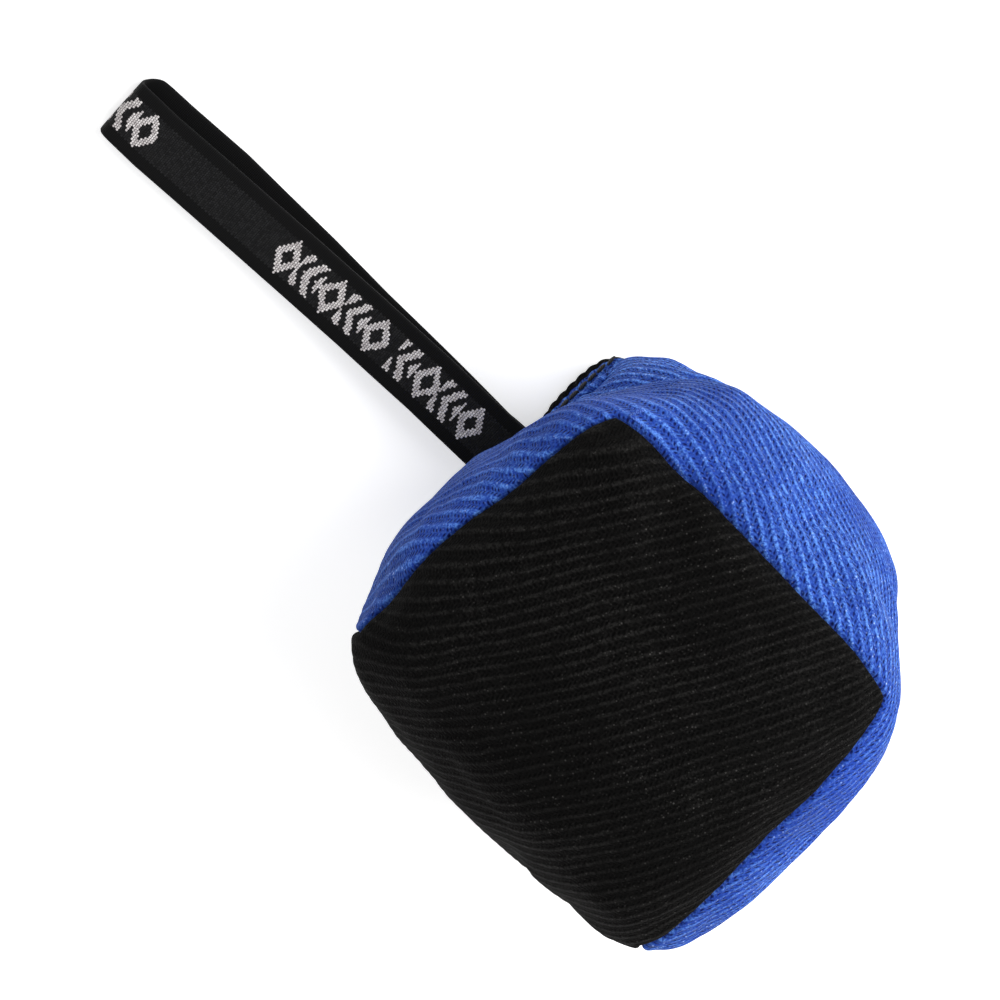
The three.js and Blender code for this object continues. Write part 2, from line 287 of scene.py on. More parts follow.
# Soft creases and lumps of the stuffing. Each is a line of cube points with the height there
# in millimetres, negative for a crease, and a half width in millimetres.
LUMPS = [
    (16, [(1, -0.1, 0.3, -0.3), (1, -0.35, 0.3, -3.4), (1, -0.6, 0.32, -6.2), (1, -1, 0.3, -6.4),
          (0.7, -1, 0.3, -3.9), (0.35, -1, 0.35, -1.5), (0, -1, 0.4, 0)]),
    (9, [(1, -0.02, -0.1, -0.5), (1, -0.3, -0.14, -4.5), (1, -0.5, -0.24, -11), (1, -1, -0.3, -18),
         (0.72, -1, -0.24, -16), (0.45, -1, -0.12, -8), (0.2, -1, 0.04, 0)]),
    (18, [(1, -0.05, -0.6, 0), (1, -0.4, -0.55, -9), (1, -0.75, -0.55, -9), (1, -1, -0.7, -1.5)]),
    (9, [(1, -0.15, -0.85, 0), (1, -0.35, -0.85, -3.5), (1, -0.8, -0.85, -4.2), (1, -1, -0.9, -0.5)]),
    (10, [(0.85, -1, -0.6, -1), (0.65, -1, -0.65, -3.5), (0.45, -1, -0.65, -3), (0.2, -1, -0.6, 0)]),
    (12, [(1, -0.1, 0.06, 0), (1, -0.35, 0.06, -2.4), (1, -0.7, 0.06, -3.2), (1, -0.95, 0.06, -1.2)]),
    (20, [(0.85, -1, 0.3, 1.2), (0.7, -1, 0.3, 4), (0.5, -1, 0.3, 7), (0.25, -1, 0.3, 6.5),
          (0, -1, 0.3, 4), (-0.4, -1, 0.3, 1.5), (-0.7, -1, 0.3, 0)]),
    (24, [(0.35, -1, -0.3, 0), (-0.1, -1, -0.2, 1.2), (-0.5, -1, 0, 0)]),
    (22, [(-1, -1, 0.4, -3.2), (-1, -1, -0.7, -5.2)]),
    (20, [(-1, 0.3, 0.1, -0.6), (-1, 0.9, 0.2, -4.4)]),
    (14, [(-0.7, 1, 0.5, -1.8), (-0.95, 1, 0.3, -2.2)]),
    (18, [(1, 0.75, 1, 0), (1, 0.35, 1, 2.0), (1, -0.1, 1, 1.0), (1, -0.4, 1, 0)]),
    (20, [(-1, -0.4, -0.2, -1.2), (-1, 0.2, -0.2, 0)]),
    (14, [(1, 0.75, 0.85, -3.8), (1, 0.85, 0.4, -2.5)]),
    (8, [(0.62, -1, 1, 0), (0.42, -1, 1, 1.8), (0.2, -1, 1, 0)]),
    (7, [(0.92, 1, 0.92, 3.4), (0.93, 0.95, 1, 3.0)]),
    (8, [(0.5, -0.97, 1, -1.6), (0.35, -0.7, 1, -2.4), (0.1, -0.5, 1, 0)]),
]
FOLD_EDGES = [{0: 1, 1: -1}, {0: -1, 1: -1}, {1: 1, 2: 1}, {1: 1, 2: -1}]
FOLD_WIDTH = 10 * MM        # how far from each unsewn edge the fabric is rounded
FOLD_PASSES = 14
FOLD_SHARE = 0.7            # how far a pass moves a point towards its neighbours' middle


def cube_grid():
    """The cube [-1, 1] cubed with each side cut into a grid."""
    bm = bmesh.new()
    bmesh.ops.create_cube(bm, size=2)
    bmesh.ops.subdivide_edges(bm, edges=bm.edges[:], cuts=PANEL_CUTS - 1, use_grid_fill=True)
    bm.normal_update()
    mesh = bpy.data.meshes.new("cover")
    bm.to_mesh(mesh)
    bm.free()
    return mesh


def panel_numbers(mesh, q):
    """The panel of each face, from the middle of its corners."""
    corners = np.empty(len(mesh.loops), int)
    mesh.loops.foreach_get("vertex_index", corners)
    middles = q[corners.reshape(-1, 4)].mean(1)
    axis = np.abs(middles).argmax(1)
    side = middles[np.arange(len(middles)), axis] > 0
    return 2 * axis + side


def press_in(points, normals):
    """Adds the soft creases and lumps, as moves along the surface's own normals."""
    move = np.zeros(len(points))
    for half_width, line in LUMPS:
        line = np.array(line, float)
        places = stuffed(line[:, :3])
        nearest = np.full(len(points), 1.0)
        height = np.zeros(len(points))
        for start, end, first, last in zip(places[:-1], places[1:], line[:-1, 3], line[1:, 3]):
            span = end - start
            share = np.clip((points - start) @ span / (span @ span), 0, 1)
            away = np.linalg.norm(points - start - share[:, None] * span, axis=1)
            closer = away < nearest
            nearest = np.where(closer, away, nearest)
            height = np.where(closer, first + share * (last - first), height)
        move += height * MM * np.exp(-(nearest / (half_width * MM)) ** 2)
    return points + normals * move[:, None]


def round_folds(mesh, q):
    """Softens the edges where a strip only folds, and leaves the seams where they are."""
    pairs = np.empty(len(mesh.edges) * 2, int)
    mesh.edges.foreach_get("vertices", pairs)
    first, second = pairs.reshape(-1, 2).T
    count = np.bincount(pairs, minlength=len(q))[:, None]
    soft = np.exp(-(edge_distance(q, FOLD_EDGES) / FOLD_WIDTH) ** 2)
    soft *= smoothstep(edge_distance(q, SEAM_EDGES), 1 * MM, 7 * MM)
    points = read_points(mesh)
    for _ in range(FOLD_PASSES):
        around = np.zeros_like(points)
        np.add.at(around, first, points[second])
        np.add.at(around, second, points[first])
        points += (around / count - points) * soft[:, None] * FOLD_SHARE
    write_points(mesh, points)


def inflate(obj, q):
    """Settles the fabric under the stuffing's pressure, with the seams held."""
    rest = read_points(obj.data)
    group = obj.vertex_groups.new(name="seams")
    held = np.exp(-(edge_distance(q, SEAM_EDGES) / (5 * MM)) ** 2)
    for index in np.flatnonzero(held > 0.02):
        group.add([int(index)], float(held[index]), "REPLACE")
    cloth = obj.modifiers.new("cloth", "CLOTH")
    settings = cloth.settings
    settings.quality = 5
    settings.mass = 0.3
    settings.tension_stiffness = 30
    settings.compression_stiffness = 30
    settings.shear_stiffness = 15
    settings.bending_stiffness = 0.6
    settings.use_pressure = True
    settings.uniform_pressure_force = 4
    settings.vertex_group_mass = "seams"
    settings.pin_stiffness = 2
    settings.shrink_min = -0.02
    settings.effector_weights.gravity = 0
    for number in range(1, CLOTH_FRAMES + 1):
        scene.frame_set(number)
    settled = mesh_with_modifiers(obj)
    moved = read_points(settled) - rest
    bpy.data.meshes.remove(settled)
    obj.modifiers.remove(cloth)
    obj.vertex_groups.clear()
    scene.frame_set(1)
    length = np.linalg.norm(moved, axis=1)
    moved *= (np.minimum(length, CLOTH_REACH) / np.maximum(length, 1e-9))[:, None]
    points = rest + moved
    points[:, 2] = np.maximum(points[:, 2], 0)
    write_points(obj.data, points)


def noise_field(points, size, seed):
    """Smooth noise from -1 to 1 at each point, from a few seeded waves."""
    rng = np.random.default_rng(seed)
    total = np.zeros(len(points))
    for _ in range(14):
        direction = rng.normal(size=3)
        direction /= np.linalg.norm(direction)
        wave = 2 * math.pi / (size * rng.uniform(0.7, 1.5))
        total += np.sin(points @ direction * wave + rng.uniform(0, 2 * math.pi))
    return total / 4.2


def cut_strip(source, name, keep):
    """A copy of the cover that keeps one strip's faces."""
    bm = bmesh.new()
    bm.from_mesh(source)
    bmesh.ops.delete(bm, geom=[f for f in bm.faces if f.material_index != keep], context="FACES")
    for face in bm.faces:
        face.material_index = 0
    return bm_object(name, bm)


def make_covers():
    """The two strips: a puffed, creased and ribbed cube, cut apart along its seams."""
    mesh = cube_grid()
    q = read_points(mesh)
    mesh.attributes.new("cube", "FLOAT_VECTOR", "POINT").data.foreach_set("vector", q.ravel())
    panel = panel_numbers(mesh, q)
    mesh.attributes.new("panel", "INT", "FACE").data.foreach_set("value", panel.astype(np.int32))
    write_points(mesh, stuffed(q))
    whole = new_object("cover_whole", mesh)
    inflate(whole, q)
    write_points(mesh, press_in(read_points(mesh), read_normals(mesh)))
    round_folds(mesh, q)
    finer = whole.modifiers.new("finer", "SUBSURF")
    finer.levels = finer.render_levels = 2
    fine = mesh_with_modifiers(whole)
    bpy.data.objects.remove(whole)

    q = np.empty(len(fine.vertices) * 3, np.float32)
    fine.attributes["cube"].data.foreach_get("vector", q)
    q = q.reshape(-1, 3).astype(float)
    panel = np.empty(len(fine.polygons), np.int32)
    fine.attributes["panel"].data.foreach_get("value", panel)
    corners = np.empty(len(fine.loops), np.int32)
    fine.loops.foreach_get("vertex_index", corners)
    points, normals = read_points(fine), read_normals(fine)
    corner_panel = np.repeat(panel, 4)
    is_blue = np.isin(corner_panel, BLUE_PANELS)
    cloth_uv = laid_flat(points, corners, *strip_place(q[corners], corner_panel), is_blue)
    cloth_uv[:, 1] += (noise_field(points, 30 * MM, 3) * RIB_WANDER)[corners]
    per_point = np.zeros((len(q), 2))
    per_point[corners] = cloth_uv
    rib_height = np.zeros(len(q))
    rib_height[corners] = np.where(is_blue, RIB_HEIGHTS[True], RIB_HEIGHTS[False])
    uv = fine.uv_layers.new(name="weave")
    uv.data.foreach_set("uv", (cloth_uv * 10).astype(np.float32).ravel())
    away = edge_distance(q, SEAM_EDGES)
    inner = np.clip(SEAM_ROLL - away, 0, None)
    move = -(SEAM_ROLL - np.sqrt(np.maximum(SEAM_ROLL ** 2 - inner ** 2, 0)))
    move += SEAM_SWELL * np.exp(-(away / SEAM_SWELL_WIDTH) ** 2)
    phase = (per_point[:, 0] * math.sin(RIB_ANGLE)
             + per_point[:, 1] * math.cos(RIB_ANGLE)) / RIB_PITCH
    ribs = 0.5 - 0.5 * np.cos(2 * math.pi * phase)
    strength = 0.75 + 0.35 * noise_field(points, 16 * MM, 21)
    strength *= 1 - 0.6 * smoothstep(q[:, 0], 0.85, 1.0)    # stretched flatter on the closing side
    move += rib_height * strength * (ribs - 0.5) * smoothstep(away, 0.6 * MM, 3 * MM)
    move += noise_field(points, 26 * MM, 5) * 0.35 * MM + noise_field(points, 11 * MM, 8) * 0.12 * MM
    lifted = smoothstep(points[:, 2], 0.0, 3 * MM)
    points = points + normals * (move * lifted)[:, None]
    points[:, 2] = np.maximum(points[:, 2], 0.0)
    write_points(fine, points)
    fine.polygons.foreach_set("material_index", np.isin(panel, BLUE_PANELS).astype(np.int32))
    black = cut_strip(fine, "cover_black", 0)
    blue = cut_strip(fine, "cover_blue", 1)
    bpy.data.meshes.remove(fine)
    return black, blue


# ---------------------------------------------------------------- inside the covers

FILLING_SCALE = 0.84
FILLING_CUTS = 24
SEAM_THREAD_SCALE = 0.87
SEAM_THREAD_RADIUS = 0.4 * MM


def stuffing():
    """A lump of loose fibre that fills the covers, hidden by them."""
    bm = bmesh.new()
    bmesh.ops.create_cube(bm, size=2)
    bmesh.ops.subdivide_edges(bm, edges=bm.edges[:], cuts=FILLING_CUTS - 1, use_grid_fill=True)
    obj = bm_object("stuffing_lump", bm)
    write_points(obj.data, stuffed(read_points(obj.data)))
    pressed = press_in(read_points(obj.data), read_normals(obj.data))
    points = CUBE_CENTRE + (pressed - CUBE_CENTRE) * FILLING_SCALE
    away = points - CUBE_CENTRE
    away /= np.linalg.norm(away, axis=1)[:, None]
    lumps = noise_field(points, 17 * MM, 31) * 1.3 * MM + noise_field(points, 7 * MM, 32) * 0.5 * MM
    write_points(obj.data, points + away * lumps[:, None])
    return obj


def seam_thread():
    """The thread of the inside seams, one round cord along each of the eight seams."""
    bm = bmesh.new()
    t = np.linspace(-0.96, 0.96, 60)
    for edge in SEAM_EDGES:
        q = np.zeros((len(t), 3))
        for axis in range(3):
            q[:, axis] = edge.get(axis, t)
        line = CUBE_CENTRE + (stuffed(q) - CUBE_CENTRE) * SEAM_THREAD_SCALE
        tube(bm, line, SEAM_THREAD_RADIUS, 8)
    return bm_object("seam_thread", bm)


# ---------------------------------------------------------------- closing fin

FABRIC = 1.8 * MM
WEBBING = 1.2 * MM
WEBBING_WIDTH = 20 * MM
GAP = 0.3 * MM
FIN_LENGTH = 6.5 * MM
FIN_REACH = 0.96
FIN_ROOT_DEPTH = 2.5 * MM     # how far each ply runs back under the cover
SCALLOP = 0.6 * MM            # height of the small waves along the fin's free edge
SCALLOP_PITCH = 4.1 * MM
STITCH_FROM_ROOT = 3.9 * MM
STITCH_PITCH = 3.8 * MM
STITCH_ROW_HALF = 43.5 * MM
STACK_HALF = WEBBING + GAP / 2
FIN_OUT = np.array([1, 0, -1]) / math.sqrt(2)
FIN_OVER = np.array([1, 0, 1]) / math.sqrt(2)
ALONG = np.array([0, 1, 0])


def fin_point(out, along, over):
    """Points of the fin's own axes: out from the cube, along the seam and over the plies."""
    out, along, over = np.broadcast_arrays(out, along, over)
    return (CUBE_CENTRE + out[..., None] * FIN_OUT + along[..., None] * ALONG
            + over[..., None] * FIN_OVER)


def closing_edge(t):
    """Distance along and out of the closing edge at t, from -1 to 1."""
    t = np.atleast_1d(t)
    points = stuffed(np.stack([np.ones_like(t), t, -np.ones_like(t)], 1)) - CUBE_CENTRE
    return points[:, 1], points @ FIN_OUT


def fin_length(t):
    return FIN_LENGTH * (1 - np.abs(t / FIN_REACH) ** 8)


def ply_gap(along):
    """Half the gap between the plies, which opens where the webbing passes between them."""
    reach = np.abs(along) - WEBBING_WIDTH / 2 - GAP
    return GAP / 2 + smoothstep(-reach, -WEBBING_WIDTH / 4, 0) * (STACK_HALF + GAP / 2)


EDGE_T = np.linspace(-1, 1, 401)
EDGE_ALONG, EDGE_OUT = closing_edge(EDGE_T)
HANDLE_EDGE = float(np.interp(0, EDGE_ALONG, EDGE_OUT))
FIN_TIP = HANDLE_EDGE + FIN_LENGTH
HINGE = fin_point(FIN_TIP + FABRIC + 2 * GAP, 0.0, 0.0)


def fin_ply(name, side, extra_length):
    """One ply of the closing fin, side 1 for the blue strip and -1 for the black one."""
    columns, rows = 240, 10
    bm = bmesh.new()
    bmesh.ops.create_grid(bm, x_segments=columns, y_segments=rows, size=1)
    flat = np.array([v.co for v in bm.verts])
    t = flat[:, 0] * FIN_REACH
    v = (flat[:, 1] + 1) / 2
    along, out = closing_edge(t)
    length = fin_length(t) + extra_length * (1 - np.abs(flat[:, 0]) ** 8)
    scallop = SCALLOP * np.abs(np.sin(math.pi * along / SCALLOP_PITCH)) * v ** 2
    out = out - FIN_ROOT_DEPTH + v * (length + scallop + FIN_ROOT_DEPTH)
    wave = 0.35 * MM * np.sin(along / (9 * MM) + side) * v
    over = side * (ply_gap(along) + FABRIC / 2) + wave
    for vert, place in zip(bm.verts, fin_point(out, along, over)):
        vert.co = place
    layer = bm.loops.layers.uv.new("weave")
    cloth = np.stack([(1 - t) / 2 * PANEL, -v * FIN_LENGTH], 1) * 10
    bm.verts.ensure_lookup_table()
    for face in bm.faces:
        for loop in face.loops:
            loop[layer].uv = cloth[loop.vert.index]
    if side > 0:
        bmesh.ops.reverse_faces(bm, faces=bm.faces[:])
    obj = bm_object(name, bm)
    wall = obj.modifiers.new("thickness", "SOLIDIFY")
    wall.thickness = FABRIC - 0.2 * MM
    wall.offset = 0
    edge = obj.modifiers.new("fold", "BEVEL")
    edge.width = 0.7 * MM
    edge.segments = 3
    edge.limit_method = "ANGLE"
    edge.angle_limit = math.radians(60)
    mesh = mesh_with_modifiers(obj)
    obj.modifiers.clear()
    obj.data = mesh
    smooth_faces(mesh)
    return obj


def closing_stitches(name, side):
    """A row of short thick thread loops lying on one face of the fin."""
    bm = bmesh.new()
    count = int(2 * STITCH_ROW_HALF / STITCH_PITCH)
    rng = np.random.default_rng(11)
    for number in range(count):
        middle = -STITCH_ROW_HALF + (number + 0.5) * STITCH_PITCH
        out = float(np.interp(middle, EDGE_ALONG, EDGE_OUT)) + STITCH_FROM_ROOT
        over = float(ply_gap(middle)) + FABRIC + 0.05 * MM
        place = fin_point(out + rng.normal() * 0.08 * MM, middle, side * over)
        turn = Matrix((FIN_OUT, ALONG, FIN_OVER)).transposed().to_4x4()
        tilt = Matrix.Rotation(rng.normal() * 0.05, 4, "Z")
        size = Matrix.Diagonal((0.75 * MM, STITCH_PITCH * 0.49, 0.5 * MM, 1))
        bmesh.ops.create_uvsphere(
            bm, u_segments=10, v_segments=8, radius=1,
            matrix=Matrix.Translation(Vector(place)) @ turn @ tilt @ size)
    bmesh.ops.recalc_face_normals(bm, faces=bm.faces[:])
    return bm_object(name, bm)


TUFT_ROOT = np.array([41.6, -53.0, 114.4]) * MM
TUFT_STRANDS = 5
TUFT_LENGTH = 4.2             # millimetres


def thread_tuft():
    """The clipped end of the seam's thread, frayed into a few curled strands."""
    bm = bmesh.new()
    rng = np.random.default_rng(5)
    for _ in range(TUFT_STRANDS):
        lean = np.array([-0.25, -0.75, 0.5]) + rng.normal(size=3) * 0.35
        curl = rng.normal(size=3) * 1.6
        t = np.linspace(0, 1, 14)[:, None]
        line = TUFT_ROOT + (lean * t * TUFT_LENGTH + curl * t ** 2 * (1 - 0.4 * t)) * MM
        tube(bm, line, (0.24 - 0.1 * t[:, 0]) * MM, 7)
    return bm_object("thread_tuft", bm)


# ---------------------------------------------------------------- handle

HANDLE_REACH = 158.5 * MM
HANDLE_BELLY = 11 * MM
HANDLE_FOLD = 6.4 * MM
HANDLE_TAIL = 12 * MM
LEG_SHARES = [0, 0.07, 0.21, 0.39, 0.53, 0.66, 0.76, 0.9, 1]  # shares of the handle's reach
LEG_OFFSETS = [                                               # sideways, in millimetres
    [0.5, 1.2, 1.1, 2.1, 3.3, 4.6, 5.6, 7.1, 7.3],              # leg on top
    [0.8, 2.2, 2.3, 2.5, 2.0, 2.0, 1.9, 3.1, 3.5],              # leg on the floor
]
PLAIN_SIDE = 1.0                                              # cloth shift of the unpatterned face
FOLD_PINCH = 0.05                                             # the fold is this much narrower


def bezier(points, steps):
    t = np.linspace(0, 1, steps)[:, None]
    a, b, c, d = np.array(points)
    return (1 - t) ** 3 * a + 3 * (1 - t) ** 2 * t * b + 3 * (1 - t) * t ** 2 * c + t ** 3 * d


def handle_route():
    """The webbing's centre line in the upright plane through the hinge, from one sewn end,
    out along the upper leg, round the fold and back to the other end."""
    floor = WEBBING / 2 - HINGE[2] + 0.1 * MM
    half = (WEBBING + GAP) / 2
    fold_x = HANDLE_REACH - HANDLE_FOLD / 2 - WEBBING / 2
    root, middle = 0.6 ** 3, 3 * 0.4 * 0.6 ** 2
    control = (HANDLE_BELLY - root * (half - floor) - (1 - root - middle) * HANDLE_FOLD) / middle
    upper = bezier([(0, half), (fold_x * 0.3, floor + control),
                    (fold_x * 0.75, floor + HANDLE_FOLD), (fold_x, floor + HANDLE_FOLD)], 60)
    turn = np.linspace(math.pi / 2, -math.pi / 2, 15)
    fold = np.stack([fold_x + HANDLE_FOLD / 2 * np.cos(turn),
                     floor + HANDLE_FOLD / 2 + HANDLE_FOLD / 2 * np.sin(turn)], 1)
    lower = bezier([(fold_x, floor), (fold_x * 0.35, floor), (fold_x * 0.16, floor), (0, -half)], 60)

    def tail(side):
        outs = np.array([HANDLE_EDGE - HANDLE_TAIL, HANDLE_EDGE - 4 * MM,
                         HANDLE_EDGE + 2 * MM, FIN_TIP - 1 * MM])
        places = fin_point(outs, 0.0, side * half) - HINGE
        return places[:, [0, 2]]

    key = np.concatenate([tail(1), upper[4:], fold[1:-1], lower[:-4], tail(-1)[::-1]])
    return resample(smooth_line(key, 3), 0.8 * MM)


def smooth_line(points, passes):
    """Evens out the line's bends and leaves its ends where they are."""
    for _ in range(passes):
        between = (points[:-2] + 2 * points[1:-1] + points[2:]) / 4
        points = np.concatenate([points[:1], between, points[-1:]])
    return points


def resample(points, step):
    """The line at even steps, and the length along it at each."""
    lengths = np.concatenate([[0], np.cumsum(np.linalg.norm(np.diff(points, axis=0), axis=1))])
    stations = np.linspace(0, lengths[-1], int(lengths[-1] / step))
    return np.stack([np.interp(stations, lengths, points[:, k]) for k in range(2)], 1), stations


def webbing_section():
    """Half width and half thickness of the webbing at points round its cross section."""
    half, thick = WEBBING_WIDTH / 2, WEBBING / 2
    top = [(x * half, thick * (1 - 0.12 * abs(x) ** 6)) for x in np.linspace(-0.965, 0.965, 25)]
    bottom = [(-x, -z) for x, z in top]
    return np.array(top + [(half, thick * 0.35), (half, -thick * 0.35)]
                    + bottom + [(-half, -thick * 0.35), (-half, thick * 0.35)])


def make_handle():
    """The webbing in one length, extruded along its route and then laid a little sideways."""
    route, stations = handle_route()
    ahead = np.gradient(route, axis=0)
    ahead /= np.linalg.norm(ahead, axis=1)[:, None]
    outward = np.stack([-ahead[:, 1], ahead[:, 0]], 1)
    section = webbing_section()
    bm = bmesh.new()
    s_layer = bm.verts.layers.float.new("station")
    y_layer = bm.verts.layers.float.new("across")
    t_layer = bm.verts.layers.float.new("outward")
    verts = [bm.verts.new((0, 0, 0)) for _ in section]
    edges = [bm.edges.new((verts[k], verts[(k + 1) % len(verts)])) for k in range(len(verts))]
    for number, (place, normal, station) in enumerate(zip(route, outward, stations)):
        if number:
            order = {v: k for k, v in enumerate(verts)}
            made = bmesh.ops.extrude_edge_only(bm, edges=edges)["geom"]
            fresh = [g for g in made if isinstance(g, bmesh.types.BMVert)]
            next_verts = [None] * len(verts)
            for vert in fresh:
                for edge in vert.link_edges:
                    other = edge.other_vert(vert)
                    if other in order:
                        next_verts[order[other]] = vert
            verts = next_verts
            edges = [bm.edges.get((verts[k], verts[(k + 1) % len(verts)])) for k in range(len(verts))]
        for vert, (across, thick) in zip(verts, section):
            spot = place + normal * thick
            vert.co = (spot[0], across, spot[1])
            vert[s_layer] = station
            vert[y_layer] = across
            vert[t_layer] = thick
    bm.faces.new(verts)
    bm.verts.ensure_lookup_table()
    bm.faces.new([bm.verts[k] for k in range(len(section))])
    layer = bm.loops.layers.uv.new("weave")
    for face in bm.faces:
        inner = all(vert[t_layer] < 0 for vert in face.verts)
        shift = PLAIN_SIDE if inner else 0
        for loop in face.loops:
            loop[layer].uv = (loop.vert[s_layer] * 10, loop.vert[y_layer] * 10 + shift)
    bmesh.ops.recalc_face_normals(bm, faces=bm.faces[:])
    bm.verts.ensure_lookup_table()
    fold_station = stations[len(stations) // 2]
    for vert in bm.verts:
        x, y, z = vert.co
        past = vert[s_layer] - fold_station
        upper, lower = (np.interp(x / HANDLE_REACH, LEG_SHARES, leg) for leg in LEG_OFFSETS)
        second = float(smoothstep(past, -4 * MM, 4 * MM))
        pinch = 1 - FOLD_PINCH * math.exp(-(past / (4 * MM)) ** 2)
        vert.co = (x, y * pinch + (upper * (1 - second) + lower * second) * MM, z)
        vert.co += Vector(HINGE)
    return bm_object("handle_webbing", bm)


# ---------------------------------------------------------------- materials

class Nodes:
    """Short calls for building one node tree."""

    def __init__(self, tree):
        self.tree = tree

    def add(self, kind, **settings):
        node = self.tree.nodes.new(kind)
        for name, value in settings.items():
            setattr(node, name, value)
        return node

    def link(self, source, target):
        self.tree.links.new(source, target)

    def put(self, socket, value):
        if isinstance(value, bpy.types.NodeSocket):
            self.link(value, socket)
        else:
            socket.default_value = value

    def math(self, operation, a, b=None, c=None, clamp=False):
        node = self.add("ShaderNodeMath", operation=operation, use_clamp=clamp)
        for socket, value in zip(node.inputs, (a, b, c)):
            if value is not None:
                self.put(socket, value)
        return node.outputs[0]

    def mix(self, share, a, b, kind="MIX"):
        node = self.add("ShaderNodeMix", data_type="RGBA", blend_type=kind)
        self.put(node.inputs[0], share)
        self.put(node.inputs[6], a)
        self.put(node.inputs[7], b)
        return node.outputs[2]

    def between(self, value, low, high, to_low=0.0, to_high=1.0):
        node = self.add("ShaderNodeMapRange", interpolation_type="SMOOTHSTEP")
        for socket, v in zip(node.inputs, (value, low, high, to_low, to_high)):
            self.put(socket, v)
        return node.outputs[0]

    def noise(self, vector, scale, detail=2.0):
        node = self.add("ShaderNodeTexNoise")
        self.put(node.inputs["Vector"], vector)
        node.inputs["Scale"].default_value = scale
        node.inputs["Detail"].default_value = detail
        return node.outputs["Fac"]

    def random(self, vector):
        node = self.add("ShaderNodeTexWhiteNoise", noise_dimensions="3D")
        self.put(node.inputs["Vector"], vector)
        return node.outputs["Value"]


def start_group(name, inputs, outputs):
    tree = bpy.data.node_groups.new(name, "ShaderNodeTree")
    for label, kind in inputs:
        tree.interface.new_socket(label, in_out="INPUT", socket_type=kind)
    for label, kind in outputs:
        tree.interface.new_socket(label, in_out="OUTPUT", socket_type=kind)
    nodes = Nodes(tree)
    return tree, nodes, nodes.add("NodeGroupInput"), nodes.add("NodeGroupOutput")


WEAVE_ROWS = 3             # rows of interlacing to each rib
WEAVE_STEP = 1.55          # millimetres along a row
WEAVE_MAPS = ("Height", "Hole", "Rib", "Yarn", "Strand", "Lint")


